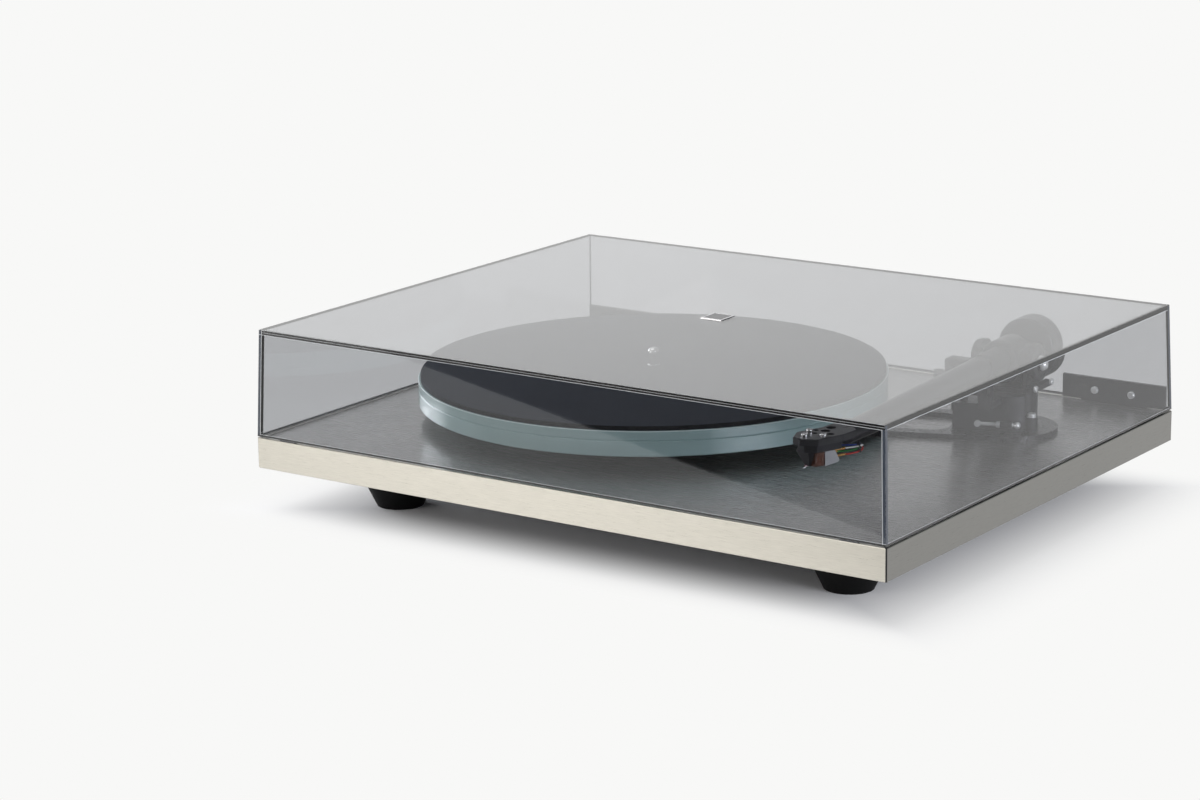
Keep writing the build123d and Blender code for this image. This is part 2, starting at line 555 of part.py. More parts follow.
def counterweight():
    """Heavy turned weight with two fine grooves."""
    body = rod_y(WEIGHT_R, WEIGHT_Y0, WEIGHT_Y1)
    body = fillet(body.edges().filter_by(GeomType.CIRCLE), 1.5)
    for y in (WEIGHT_Y0 + 5.0, WEIGHT_Y0 + 11.0):
        body -= rod_y(WEIGHT_R + 1, y, y + 0.5) - rod_y(WEIGHT_R - 0.4, y, y + 0.5)
    return ARM * (body - rod_y(STUB_R + 0.05, WEIGHT_Y0, WEIGHT_Y1))


# ---------------------------------------------------------------- cartridge
def cartridge_body():
    """Mounting flange and the tapering nose that ends above the stylus."""
    flange = plate([(-3.2, -1.2), (3.2, -1.2), (8.3, 3.6), (8.3, 21), (-8.3, 21), (-8.3, 3.6)],
                   -3.5, SHELL_Z0)
    top = Pos(0, 0, -3.5) * (Plane.XY * Pos(0, 1.7) * Rectangle(12.0, 4.6))
    low = Pos(0, 0, -12.4) * (Plane.XY * Pos(0, 3.6) * Rectangle(3.6, 1.6))
    nose = loft([top.face(), low.face()])
    body = flange + nose
    for x, y in CARTRIDGE_SCREWS:
        body -= disc(1.2, -2.0, SHELL_Z0, (x, y))
    return HEAD * body


def coil_cover():
    body = slab(-5.7, 5.7, 4.5, 11.0, -12.3, -3.5)
    return HEAD * chamfer(body.edges().filter_by(Axis.Y), 0.5)


def magnet_yoke():
    outline = [(11.0, -3.5), (17.4, -3.5), (21.0, -10.4), (20.0, -11.4), (11.0, -12.6)]
    return HEAD * frame_plate(outline, Plane.YZ.offset(-6.2), 12.4)


def lead_routes():
    """Four signal wires, from the pins round to the underside of the tube."""
    routes = []
    for z, _ in LEAD_PIN_ROWS:
        for side in (-1, 1):
            start = Vector(side * LEAD_PIN_X, LEAD_PIN_END, z)
            swing = 7.5 + 0.9 * side
            routes.append([start, start + Vector(0.8, 4.0, -0.2),
                           Vector(swing, 34.5 + 0.8 * side, z + 2.2),
                           Vector(swing - 5.0, 38.0, 0.35 * z - 3.2),
                           Vector(swing - 9.5, 41.0, -5.4 - 0.12 * abs(z))])
    return routes


def head_leads():
    """Thin insulated wires as straight runs joined by tangent arcs."""
    wires = []
    for points in lead_routes():
        path = FilletPolyline(*points, radius=1.6)
        start = Plane(origin=points[0], z_dir=points[1] - points[0])
        wires.append(HEAD * sweep(start * Circle(0.4), path=path))
    return wires


def cartridge_pins():
    pins = []
    for z, back in LEAD_PIN_ROWS:
        for side in (-1, 1):
            pins.append(HEAD * rod_y(0.75, back, LEAD_PIN_END, side * LEAD_PIN_X, z))
    return pins


def stylus():
    """Cantilever with its damper ring and the diamond at the end."""
    root, end = (0, 4.4, -11.4), (0, 0.35, TIP_Z + 0.9)
    cantilever = rod_between(root, end, 0.24)
    damper = rod_between((0, 2.8, -11.95), (0, 1.9, -12.35), 0.75)
    diamond = Pos(0, 0.35, TIP_Z) * Cone(0.06, 0.3, 1.1, align=LOW)
    return HEAD * (cantilever + damper + diamond)


def cartridge_screw(x, y):
    head = disc(2.0, SHELL_Z1, SHELL_Z1 + 1.5, (x, y))
    head = fillet(head.edges().filter_by(GeomType.CIRCLE).group_by(Axis.Z)[-1], 0.6)
    slot = Pos(x, y, SHELL_Z1 + 0.9) * Rot(0, 0, 40 * x + 25) * Box(4, 0.5, 1, align=LOW)
    return HEAD * (head - slot + disc(1.2, -2.0, SHELL_Z1, (x, y)))


# ---------------------------------------------------------------- write the parts
os.makedirs("parts", exist_ok=True)
INNER_WALL = lid_block(0, LID_TOP) - lid_block(-LID_WALL, LID_TOP - LID_WALL)
OUTER_WALL = lid_block(0, LID_TOP)
y_rear = DEPTH / 2 - STRIP_T

save("plinth_core", plinth_core())
save("top_skin", skin(-SKIN_T, 0) - disc(6.0, -SKIN_T, 0, MOTOR))
bottom_skin = skin(-PLINTH_T, SKIN_T - PLINTH_T) - disc(MOTOR_R + 1.5, -PLINTH_T, 0, MOTOR)
for at in FEET.values():
    bottom_skin -= disc(STUD_R, -PLINTH_T, 0, at)
save("bottom_skin", bottom_skin)
save("front_strip", edge_strip(WIDTH, DEPTH / 2, 0))
save("rear_strip", edge_strip(WIDTH, DEPTH / 2, 180)
     - rod_y(SOCKET_R, y_rear, DEPTH / 2, SOCKET_X, SOCKET_Z))
save("right_strip", edge_strip(DEPTH, WIDTH / 2, 90))
save("left_strip", edge_strip(DEPTH, WIDTH / 2, -90))
for name, at in FEET.items():
    save(name, foot(at))
save("foot_studs", *[stud(at) for at in FEET.values()])
save("top_brace", brace(0, BRACE_T, windowed=True))
save("bottom_brace", brace(-PLINTH_T - BRACE_T, -PLINTH_T, windowed=False))
save("bearing_housing", bearing_housing())
save("thrust_ball", Pos(HUB[0], HUB[1], HOUSING_END + 2 + THRUST_BALL_R) * Sphere(THRUST_BALL_R))
save("motor_body", motor_body())
save("drive_belts", *[belt(z) for z in BELT_Z])
save("power_socket", power_socket())
save("arm_cable_gland", cable_gland())

save("sub_platter", sub_platter())
save("spindle", spindle())
save("platter_disc", glass_disc())
save("platter_ring", glass_ring())
save("platter_mat", mat())
save("motor_shaft", disc(MOTOR_SHAFT_R, MOTOR_END + 3.1, PULLEY_Z1, MOTOR))
save("motor_pulley", pulley())

screw_xs = [side * HINGE_X + way * HINGE_SCREW_X for side in (-1, 1) for way in (-1, 1)]
shanks = [hinge_screw(x) for x in screw_xs]
cover, plates, leaves = dust_cover(), [], []
for shank in shanks:
    cover -= shank
for side in (-1, 1):
    inner, outer = hinge_plate(side * HINGE_X), hinge_leaf(side * HINGE_X)
    for shank in shanks:
        inner, outer = inner - shank, outer - shank
    plates.append(inner)
    leaves.append(outer)
save("dust_cover", cover)
save("hinge_plates", *plates)
save("hinge_leaves", *leaves)
save("hinge_screws", *shanks)
save("hinge_bases", *[hinge_base(side * HINGE_X) for side in (-1, 1)])
save("hinge_pins", *[hinge_pin(side * HINGE_X) for side in (-1, 1)])
save("lid_bumpers", *[lid_bumper(sx * 200, -LID_D / 2 + 1.6) for sx in (-1, 1)])
save("lid_badge", badge())

save("arm_base", arm_base() + bias_shelf())
save("arm_base_screws", *[ear_screw(at) for at in ear_places()])
save("arm_rest", arm_rest())
save("lift_platform", lift_platform())
save("cue_lever", cue_lever())
save("bias_slider", bias_slider())
save("bearing_yoke", bearing_yoke())
save("vertical_spindle", vertical_spindle())
save("cheek_screws", *[cheek_screw(y) for y in CHEEK_SCREW_Y])
save("dial_cap", dial_cap())
save("force_dial", force_dial())
save("arm_tube", arm_tube())
save("bearing_barrel", bearing_barrel())
save("pivot_pins", *pivot_pins())
save("rest_saddle", rest_saddle())
save("counterweight_stub", counterweight_stub())
save("counterweight", counterweight())
save("cartridge_body", cartridge_body())
save("coil_cover", coil_cover())
save("magnet_yoke", magnet_yoke())
save("cartridge_pins", *cartridge_pins())
save("stylus", stylus())
save("cartridge_screws", *[cartridge_screw(x, y) for x, y in CARTRIDGE_SCREWS])
save("head_leads", *head_leads())
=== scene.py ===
# %% [markdown]
# # A belt-driven record player under a smoked cover
# The exact shapes come from the imported model: every part is already there, in metres, at its
# place. This script gives those parts their surfaces, adds the few small things that are
# easier to make by hand in Blender, and sets up a studio.
# Each comment cell says what the next step makes on the real machine and why it is done so.

# %% Load the frame
import bpy
import math
from mathutils import Matrix, Vector


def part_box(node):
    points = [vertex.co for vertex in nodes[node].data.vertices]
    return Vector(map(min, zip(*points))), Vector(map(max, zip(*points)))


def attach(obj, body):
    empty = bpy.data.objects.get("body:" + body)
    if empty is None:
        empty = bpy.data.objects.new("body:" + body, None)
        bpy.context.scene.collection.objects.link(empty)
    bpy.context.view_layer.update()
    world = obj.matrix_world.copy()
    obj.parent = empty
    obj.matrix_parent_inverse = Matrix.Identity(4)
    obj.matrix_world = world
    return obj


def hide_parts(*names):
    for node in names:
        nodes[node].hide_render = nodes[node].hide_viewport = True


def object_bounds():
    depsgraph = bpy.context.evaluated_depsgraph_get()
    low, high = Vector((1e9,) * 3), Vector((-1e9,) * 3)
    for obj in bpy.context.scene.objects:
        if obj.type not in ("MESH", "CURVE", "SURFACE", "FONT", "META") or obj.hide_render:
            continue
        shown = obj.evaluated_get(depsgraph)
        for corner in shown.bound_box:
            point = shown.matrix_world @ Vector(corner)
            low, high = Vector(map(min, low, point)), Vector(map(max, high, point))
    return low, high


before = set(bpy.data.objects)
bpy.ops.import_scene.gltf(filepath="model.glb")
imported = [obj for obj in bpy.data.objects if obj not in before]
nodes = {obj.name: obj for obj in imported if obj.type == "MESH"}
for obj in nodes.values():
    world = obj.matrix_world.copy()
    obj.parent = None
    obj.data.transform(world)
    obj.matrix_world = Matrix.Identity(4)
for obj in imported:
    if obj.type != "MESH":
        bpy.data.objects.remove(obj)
cad_box = [list(corner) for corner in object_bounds()]
MM = 0.001

# %% [markdown]
# ## Where things are
# The script asks the frame for the box of a part and places what belongs to it from there.
# Two places are needed further on: the platter's middle and the middle of the whole machine.

# %% Places taken from the frame
def middle(node):
    """The middle of a part's box."""
    low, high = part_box(node)
    return (Vector(low) + Vector(high)) / 2


hub = middle("platter_disc")
deck_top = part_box("top_skin")[1][2]
object_middle = (Vector(cad_box[0]) + Vector(cad_box[1])) / 2
print("hub", [round(v, 4) for v in hub], "deck top", round(deck_top, 4))

# %% [markdown]
# ## Colours and nodes
# Paint and screen colours are written as sRGB hex values, but Blender mixes light in linear
# values, so one function turns one into the other. A second small function adds any node with
# its settings and links, so that a material reads as a list of what it is made of. Patterns
# are sized in millimetres: a texture's scale is one over the size of its repeat.

# %% Colour and node helpers
def linear(code):
    """The linear colour for an sRGB hex value."""
    parts = [int(code[i:i + 2], 16) / 255 for i in (0, 2, 4)]
    return tuple(p / 12.92 if p <= 0.04045 else ((p + 0.055) / 1.055) ** 2.4 for p in parts) + (1.0,)


def add_node(tree, kind, inputs=None, **settings):
    """Add a node, set its properties, then set or link its inputs."""
    node = tree.nodes.new(kind)
    for name, value in settings.items():
        setattr(node, name, value)
    for socket, value in (inputs or {}).items():
        if isinstance(value, bpy.types.NodeSocket):
            tree.links.new(value, node.inputs[socket])
        else:
            node.inputs[socket].default_value = value
    return node


def start_material(name):
    """A new material with its node tree and the Principled shader that comes with it."""
    material = bpy.data.materials.new(name)
    material.use_nodes = True
    return material, material.node_tree, material.node_tree.nodes["Principled BSDF"]


def set_shader(shader, **values):
    """Set constants on the shader's own sockets, named with underscores for spaces."""
    for name, value in values.items():
        shader.inputs[name.replace("_", " ")].default_value = value


def repeats(*sizes):
    """Texture scale for a pattern whose repeat is so many millimetres along X, Y and Z."""
    return tuple(1 / (size * MM) for size in sizes)


def coat_parts(material, *names):
    """Give CAD parts this material in place of the one they came with."""
    for name in names:
        nodes[name].data.materials.clear()
        nodes[name].data.materials.append(material)
    print(material.name, "->", ", ".join(names))


# %% [markdown]
# ## The camera
# A long lens far away keeps the plinth's edges nearly parallel. The camera stands to the right
# of the front, looks down by 14 degrees, and is tipped by less than a degree, as it would be
# on a tripod that isn't quite level. Its place is in metres and its angles are in degrees.

# %% Camera
CAMERA_AT = Vector((1.05983, -1.63470, 0.55226))
VIEW_TURN, VIEW_DOWN, VIEW_ROLL = 35.193, 14.076, -0.841
FOCAL_MM, SENSOR_MM = 96.59, 36.0

camera_data = bpy.data.cameras.new("camera")
camera_data.lens = FOCAL_MM
camera_data.sensor_width = SENSOR_MM
camera = bpy.data.objects.new("camera", camera_data)
bpy.context.scene.collection.objects.link(camera)
turn = Matrix.Rotation(math.radians(VIEW_TURN), 4, "Z")
tip_down = Matrix.Rotation(math.radians(90 - VIEW_DOWN), 4, "X")
roll = Matrix.Rotation(math.radians(VIEW_ROLL), 4, "Z")
camera.matrix_world = Matrix.Translation(CAMERA_AT) @ turn @ tip_down @ roll
bpy.context.scene.camera = camera
bpy.context.scene.view_settings.view_transform = "Standard"
print("camera", [round(v, 3) for v in CAMERA_AT])

# %% [markdown]
# ## The studio
# A machine like this is shown on a white sweep under one big soft box, with white walls
# behind and a dark room in front and to the right. Brushed metal and clear plastic only show
# what is around them, so the room matters as much as the lamps. The sky below is that room: it
# is white behind and to the left and falls off to grey on the right.

# %% Room
ROOM_BRIGHT, ROOM_DIM = 1.17, 0.28
BRIGHT_SIDE = Vector((-0.9, 0.4, 0.2)).normalized()
world = bpy.data.worlds.new("studio")
world.use_nodes = True
bpy.context.scene.world = world
sky = world.node_tree
direction = add_node(sky, "ShaderNodeTexCoord").outputs["Generated"]
facing = add_node(sky, "ShaderNodeVectorMath", {0: direction, 1: BRIGHT_SIDE}, operation="DOT_PRODUCT")
level = add_node(sky, "ShaderNodeMapRange", {"Value": facing.outputs["Value"], "From Min": 0.3,
                                             "From Max": 0.95, "To Min": ROOM_DIM, "To Max": ROOM_BRIGHT},
                 interpolation_type="SMOOTHSTEP")
sky.nodes["Background"].inputs["Color"].default_value = linear("fdfdfc")
sky.links.new(level.outputs["Result"], sky.nodes["Background"].inputs["Strength"])
print("room from", ROOM_DIM, "to", ROOM_BRIGHT)

# %% [markdown]
# The floor is a wide disc of matt white paper. Under the machine it is lit and shaded like
# paper. Beside the machine it fades into a plain emitted glow. That glow is painted light: it
# lifts the shadows round the plinth and keeps a horizon line from cutting the background.

# %% Floor
FLOOR_R = 9.0
PAINTED_GLOW_X, PAINTED_GLOW_Y = (0.15, 0.28), (0.125, 0.205)   # where the fade starts and ends, from the middle
bpy.ops.mesh.primitive_circle_add(vertices=96, radius=FLOOR_R, fill_type="NGON", location=(0, 0, 0))
floor = bpy.context.object
floor.name = "floor"
paper, tree, shader = start_material("matt_white_paper_and_painted_glow")
set_shader(shader, Base_Color=linear("e9eaee"), Roughness=0.9, Specular_IOR_Level=0.1)
spot = add_node(tree, "ShaderNodeTexCoord").outputs["Object"]
away = add_node(tree, "ShaderNodeVectorMath", {0: spot}, operation="ABSOLUTE").outputs["Vector"]
away = add_node(tree, "ShaderNodeSeparateXYZ", {"Vector": away})
fades = [add_node(tree, "ShaderNodeMapRange", {"Value": away.outputs[axis], "From Min": near,
                                               "From Max": far},
                  interpolation_type="SMOOTHSTEP").outputs["Result"]
         for axis, (near, far) in (("X", PAINTED_GLOW_X), ("Y", PAINTED_GLOW_Y))]
fade = add_node(tree, "ShaderNodeMath", {0: fades[0], 1: fades[1]}, operation="MAXIMUM").outputs[0]
# painted light: beside the machine the floor glows evenly, so its shadows do not show there
painted_glow = add_node(tree, "ShaderNodeEmission", {"Color": linear("f8f8f7"), "Strength": 1.0})
blend = add_node(tree, "ShaderNodeMixShader", {0: fade, 1: shader.outputs[0], 2: painted_glow.outputs[0]})
tree.links.new(blend.outputs[0], tree.nodes["Material Output"].inputs["Surface"])
floor.data.materials.append(paper)
print("floor radius", FLOOR_R)

# %% [markdown]
# A black card is laid near the machine, out of sight, to give its clear faces an edge. The front
# pane mirrors the floor in front of it: a card lying there puts a dark wedge into the pane, with
# a slanting border where the white floor begins. The card is hidden from the camera and throws
# no shadow: it shows only in mirror images, and through clear parts that it lies behind.

# %% Black card
CARD_LONG, CARD_DEEP = 3.0, 1.6
CARD_EDGE = Vector((0.0, -0.434, 0.002))
CARD_TURN = math.radians(25.5)
toward_front = Vector((math.sin(CARD_TURN), -math.cos(CARD_TURN), 0))
bpy.ops.mesh.primitive_plane_add(size=1.0, location=CARD_EDGE + toward_front * CARD_DEEP / 2,
                                 rotation=(0, 0, CARD_TURN))
card = bpy.context.object
card.name = "black_card"
card.scale = (CARD_LONG, CARD_DEEP, 1)
for ray_kind in ("camera", "diffuse", "shadow", "volume_scatter"):
    setattr(card, f"visible_{ray_kind}", False)
black, tree, shader = start_material("black_card")
set_shader(shader, Base_Color=linear("101010"), Roughness=0.9)
card.data.materials.append(black)
print("card edge through", [round(v, 3) for v in CARD_EDGE])

# %% [markdown]
# Four square soft boxes light the machine: a big one overhead, a warm one low at the front, and
# two cool ones low at the sides, which brighten the floor beside the plinth.

# %% Lamps
def soft_box(name, at, size, watts, tint):
    """A square area lamp that looks at the machine."""
    bpy.ops.object.light_add(type="AREA", location=at)
    lamp = bpy.context.object
    lamp.name = name
    lamp.data.shape = "SQUARE"
    lamp.data.size = size
    lamp.data.energy = watts
    lamp.data.color = linear(tint)[:3]
    lamp.rotation_euler = (object_middle - Vector(at)).to_track_quat("-Z", "Y").to_euler()
    return lamp


soft_box("top_box", (-0.50, -0.50, 2.2), 2.0, 27.0, "fffdfa")
soft_box("front_box", (-1.1, -1.75, 0.45), 0.9, 14.0, "fffbf6")
soft_box("left_box", (-1.5, 0.25, 0.42), 0.8, 16.0, "fbfcff")
soft_box("right_box", (1.6, -0.35, 0.42), 0.8, 20.0, "f6f8ff")
print("lamps ready")

# %% [markdown]
# ## Brushed steel
# The deck is a thin steel sheet brushed from side to side on a belt sander, and the edge strips
# are brushed along their length. Each scratch is a tiny groove: light spreads across the
# grooves and stays tight along them, so a reflection smears into a streak. That is what the
# anisotropic setting does, with the tangent pointing across the scratches. The real scratches
# are a few hundredths of a millimetre wide, too fine to show, so they are drawn coarser.

# %% Brushed steel
def brushed_steel(name, color, streak, across, rough, depth):
    """Steel brushed along one direction. streak is the pattern's repeat in mm along X, Y and Z."""
    material, tree, shader = start_material(name)
    place = add_node(tree, "ShaderNodeTexCoord").outputs["Object"]
    drawn = add_node(tree, "ShaderNodeMapping", {"Vector": place, "Scale": repeats(*streak)})
    grain = add_node(tree, "ShaderNodeTexNoise", {"Vector": drawn.outputs[0], "Scale": 1.0, "Detail": 5.0,
                                                  "Roughness": 0.65})
    tone = add_node(tree, "ShaderNodeMapRange", {"Value": grain.outputs["Fac"], "From Min": 0.3,
                                                 "From Max": 0.7, "To Min": -depth, "To Max": depth})
    shade = add_node(tree, "ShaderNodeHueSaturation", {"Color": linear(color), "Value": add_node(
        tree, "ShaderNodeMath", {0: tone.outputs[0], 1: 1.0}, operation="ADD").outputs[0]})
    haze = add_node(tree, "ShaderNodeMath", {0: tone.outputs[0], 1: 0.3, 2: rough},
                    operation="MULTIPLY_ADD")
    relief = add_node(tree, "ShaderNodeBump", {"Height": grain.outputs["Fac"], "Strength": 0.035,
                                               "Distance": 0.004 * MM})
    tangent = add_node(tree, "ShaderNodeCombineXYZ", dict(zip("XYZ", across)))
    tree.links.new(shade.outputs[0], shader.inputs["Base Color"])
    tree.links.new(haze.outputs[0], shader.inputs["Roughness"])
    tree.links.new(relief.outputs[0], shader.inputs["Normal"])
    tree.links.new(tangent.outputs[0], shader.inputs["Tangent"])
    set_shader(shader, Metallic=1.0, Anisotropic=0.75)
    return material


deck_steel = brushed_steel("brushed_stainless_deck", "aaa9a8", (30.0, 0.30, 6.0), (0, 1, 0), 0.27, 0.035)
front_steel = brushed_steel("brushed_stainless_edge_long", "bfbcb3", (7.0, 6.0, 0.22), (0, 0, 1),
                            0.30, 0.10)
# The side strips are the same steel as the front and back ones, painted darker: painted shade for the sides
# that face the dim room.
side_steel_painted_shade = brushed_steel("brushed_stainless_edge_side_painted_shade", "8b8a87", (6.0, 7.0, 0.22), (0, 0, 1),
                           0.30, 0.10)
coat_parts(deck_steel, "top_skin")
coat_parts(front_steel, "front_strip", "rear_strip")
coat_parts(side_steel_painted_shade, "left_strip", "right_strip")

# %% [markdown]
# ## Black plastics, rubber and paint
# Most of the small parts are black, and what tells them apart is how they shine: moulded rubber
# is matt with a faint grain, phenolic board is smooth, anodised aluminium has a fine grit from
# the etch before dyeing, and satin paint has a soft orange-peel. One function makes them all
# from a colour, a roughness and the size of that grain.

# %% Black finishes
def grained(name, color, rough, grain_mm, relief_mm, metallic=0.0, tone=0.12, specular=0.5):
    """A plain finish whose colour, shine and surface vary with one fine grain."""
    material, tree, shader = start_material(name)
    place = add_node(tree, "ShaderNodeTexCoord").outputs["Object"]
    grain = add_node(tree, "ShaderNodeTexNoise", {"Vector": place, "Scale": repeats(grain_mm)[0],
                                                  "Detail": 3.0})
    value = add_node(tree, "ShaderNodeMapRange", {"Value": grain.outputs["Fac"], "To Min": 1 - tone,
                                                  "To Max": 1 + tone})
    shade = add_node(tree, "ShaderNodeHueSaturation", {"Color": linear(color), "Value": value.outputs[0]})
    haze = add_node(tree, "ShaderNodeMapRange", {"Value": grain.outputs["Fac"], "To Min": rough * 0.85,
                                                 "To Max": min(rough * 1.15, 1.0)})
    relief = add_node(tree, "ShaderNodeBump", {"Height": grain.outputs["Fac"], "Strength": 0.4,
                                               "Distance": relief_mm * MM})
    tree.links.new(shade.outputs[0], shader.inputs["Base Color"])
    tree.links.new(haze.outputs[0], shader.inputs["Roughness"])
    tree.links.new(relief.outputs[0], shader.inputs["Normal"])
    set_shader(shader, Metallic=metallic, Specular_IOR_Level=specular)
    return material


# The rubber is drawn nearly black, darker than rubber itself. That is its own black, plus painted shade for
# the feet that stand under the plinth.
black_rubber_and_painted_shade = grained("moulded_rubber_foot_and_painted_shade", "040404", 0.6, 0.8, 0.03, specular=0.15)
edge_black = grained("foam_cored_board", "141416", 0.6, 1.2, 0.05)
laminate_black = grained("matt_black_laminate", "1b1b1c", 0.5, 0.6, 0.02)
brace_black = grained("phenolic_board", "1c1d20", 0.28, 2.0, 0.01)
moulding_black = grained("moulded_black_plastic", "17171a", 0.42, 0.5, 0.02)
hinge_black = grained("polished_black_plastic", "17181c", 0.2, 3.0, 0.01)
arm_black = grained("black_anodised_aluminium", "26262b", 0.36, 0.35, 0.01, metallic=0.35)
arm_satin = grained("satin_black_arm_paint", "29292d", 0.3, 0.5, 0.01, metallic=0.2)
weight_black = grained("satin_black_steel", "38383d", 0.25, 0.6, 0.01, metallic=0.5)
clear_pad = grained("soft_clear_rubber", "3c3e42", 0.35, 0.6, 0.01)
coat_parts(black_rubber_and_painted_shade, "foot_front_left", "foot_front_right", "foot_rear", "drive_belts")
coat_parts(edge_black, "plinth_core")
coat_parts(laminate_black, "bottom_skin")
coat_parts(brace_black, "top_brace", "bottom_brace")
coat_parts(moulding_black, "power_socket", "arm_cable_gland", "motor_body", "sub_platter")
coat_parts(hinge_black, "hinge_plates", "hinge_leaves", "hinge_bases")
coat_parts(arm_black, "arm_base", "arm_rest", "lift_platform", "bias_slider", "bearing_yoke", "rest_saddle",
           "force_dial")
coat_parts(arm_satin, "arm_tube", "bearing_barrel")
coat_parts(weight_black, "counterweight")
coat_parts(clear_pad, "lid_bumpers")

# %% [markdown]
# ## Bright metal
# The screws, the dial's domed cap, the shafts and the record spindle are turned or ground and
# then polished. A faint ring pattern from the lathe would be finer than can be seen, so they
# only get a soft variation in how sharp the mirror is, as handled metal has.

# %% Bright metals
def polished(name, color, rough, patch_mm):
    """Polished metal with slightly duller patches."""
    material, tree, shader = start_material(name)
    place = add_node(tree, "ShaderNodeTexCoord").outputs["Object"]
    patches = add_node(tree, "ShaderNodeTexNoise", {"Vector": place, "Scale": repeats(patch_mm)[0]})
    haze = add_node(tree, "ShaderNodeMapRange", {"Value": patches.outputs["Fac"], "To Min": rough * 0.7,
                                                 "To Max": rough * 1.4})
    tree.links.new(haze.outputs[0], shader.inputs["Roughness"])
    set_shader(shader, Base_Color=linear(color), Metallic=1.0)
    return material


bright_steel = polished("polished_steel", "e2e2e2", 0.16, 1.5)
zinc = polished("zinc_plated_steel", "b9bcc0", 0.35, 2.0)
brass = polished("turned_brass", "cfa95e", 0.3, 3.0)
gold = polished("gold_plated_pin", "e8b774", 0.22, 0.8)
alloy = polished("turned_aluminium", "cfcfd2", 0.25, 2.0)
nickel = grained("satin_nickel_plate", "f0f0ee", 0.25, 1.0, 0.002, metallic=0.45, tone=0.03)
coat_parts(bright_steel, "spindle", "thrust_ball", "hinge_pins", "vertical_spindle", "pivot_pins",
           "cartridge_screws", "counterweight_stub", "motor_shaft")
coat_parts(nickel, "arm_base_screws", "hinge_screws", "cheek_screws", "dial_cap", "cue_lever")
coat_parts(zinc, "foot_studs")
coat_parts(brass, "bearing_housing")
coat_parts(gold, "cartridge_pins")
coat_parts(alloy, "motor_pulley", "stylus", "lid_badge")

# %% [markdown]
# ## Pressed felt
# The mat is wool felt about 3 mm thick, dyed black. Its fibres stand up a little and catch light
# that skims across them, so black felt looks grey-blue at a low angle. Sheen is the part of the
# shader made for that. The fibres are about 0.02 mm thick; the pattern is drawn at about a
# millimetre so that it still shows, with larger tufts under it.

# %% Felt
felt, tree, shader = start_material("black_wool_felt")
place = add_node(tree, "ShaderNodeTexCoord").outputs["Object"]
fibres = add_node(tree, "ShaderNodeTexNoise", {"Vector": place, "Scale": repeats(0.9)[0], "Detail": 6.0,
                                               "Roughness": 0.8})
tufts = add_node(tree, "ShaderNodeTexNoise", {"Vector": place, "Scale": repeats(14.0)[0], "Detail": 2.0})
both = add_node(tree, "ShaderNodeMath", {0: fibres.outputs["Fac"], 1: tufts.outputs["Fac"]},
                operation="ADD")
value = add_node(tree, "ShaderNodeMapRange", {"Value": both.outputs[0], "From Min": 0.6, "From Max": 1.4,
                                              "To Min": 0.7, "To Max": 1.3})
shade = add_node(tree, "ShaderNodeHueSaturation", {"Color": linear("16171b"), "Value": value.outputs[0]})
relief = add_node(tree, "ShaderNodeBump", {"Height": fibres.outputs["Fac"], "Strength": 0.6,
                                           "Distance": 0.15 * MM})
tree.links.new(shade.outputs[0], shader.inputs["Base Color"])
tree.links.new(relief.outputs[0], shader.inputs["Normal"])
set_shader(shader, Roughness=0.9, Specular_IOR_Level=0.2, Sheen_Weight=0.25, Sheen_Roughness=0.4,
           Sheen_Tint=linear("8f9ab0"))
coat_parts(felt, "platter_mat")

# %% [markdown]
# ## Plate glass with a ground edge
# The platter is two pieces of float glass glued together, a disc over a ring. Iron in the glass
# makes it green, and the rim is ground and half polished, so it scatters light like sea glass
# and hides what is inside. A little transmission with a rough surface gives that, and faint
# level lines show where the grinding wheel ran round.

# %% Platter glass
glass, tree, shader = start_material("ground_edge_float_glass")
place = add_node(tree, "ShaderNodeTexCoord").outputs["Object"]
drawn = add_node(tree, "ShaderNodeMapping", {"Vector": place, "Scale": repeats(60.0, 60.0, 0.5)})
lines = add_node(tree, "ShaderNodeTexNoise", {"Vector": drawn.outputs[0], "Scale": 1.0, "Detail": 3.0})
value = add_node(tree, "ShaderNodeMapRange", {"Value": lines.outputs["Fac"], "From Min": 0.3,
                                              "From Max": 0.7, "To Min": 0.96, "To Max": 1.04})
shade = add_node(tree, "ShaderNodeHueSaturation", {"Color": linear("bad8d7"), "Value": value.outputs[0]})
tree.links.new(shade.outputs[0], shader.inputs["Base Color"])
set_shader(shader, Roughness=0.22, IOR=1.52, Transmission_Weight=0.25, Coat_Weight=0.3, Coat_Roughness=0.08)
coat_parts(glass, "platter_disc", "platter_ring")

# %% [markdown]
# ## Smoked acrylic
# The cover is 3 mm acrylic sheet with a grey dye. The dye darkens light by how far it travels
# inside, so a pane seen square on is light grey and the same pane seen along its edge is nearly
# black. The volume below does that. The surface shader bends and mirrors light as acrylic does;
# rays from the lamps go straight through it, so that what is inside is lit without noise.

# %% Smoked acrylic
DYE_TINT, DYE_PER_METRE = (0.36, 0.375, 0.41, 1.0), 183.0
smoked, tree, shader = start_material("smoked_acrylic_sheet")
set_shader(shader, Base_Color=linear("ffffff"), Roughness=0.0, IOR=1.49, Transmission_Weight=1.0)
ray = add_node(tree, "ShaderNodeLightPath")
lamp_ray = add_node(tree, "ShaderNodeMath", {0: ray.outputs["Is Shadow Ray"],
                                             1: ray.outputs["Is Diffuse Ray"]}, operation="MAXIMUM")
clear = add_node(tree, "ShaderNodeBsdfTransparent", {"Color": linear("f4f5f6")})
pane = add_node(tree, "ShaderNodeMixShader", {0: lamp_ray.outputs[0], 1: shader.outputs[0],
                                              2: clear.outputs[0]})
dye = add_node(tree, "ShaderNodeVolumeAbsorption", {"Color": DYE_TINT, "Density": DYE_PER_METRE})
tree.links.new(pane.outputs[0], tree.nodes["Material Output"].inputs["Surface"])
tree.links.new(dye.outputs[0], tree.nodes["Material Output"].inputs["Volume"])
coat_parts(smoked, "dust_cover")
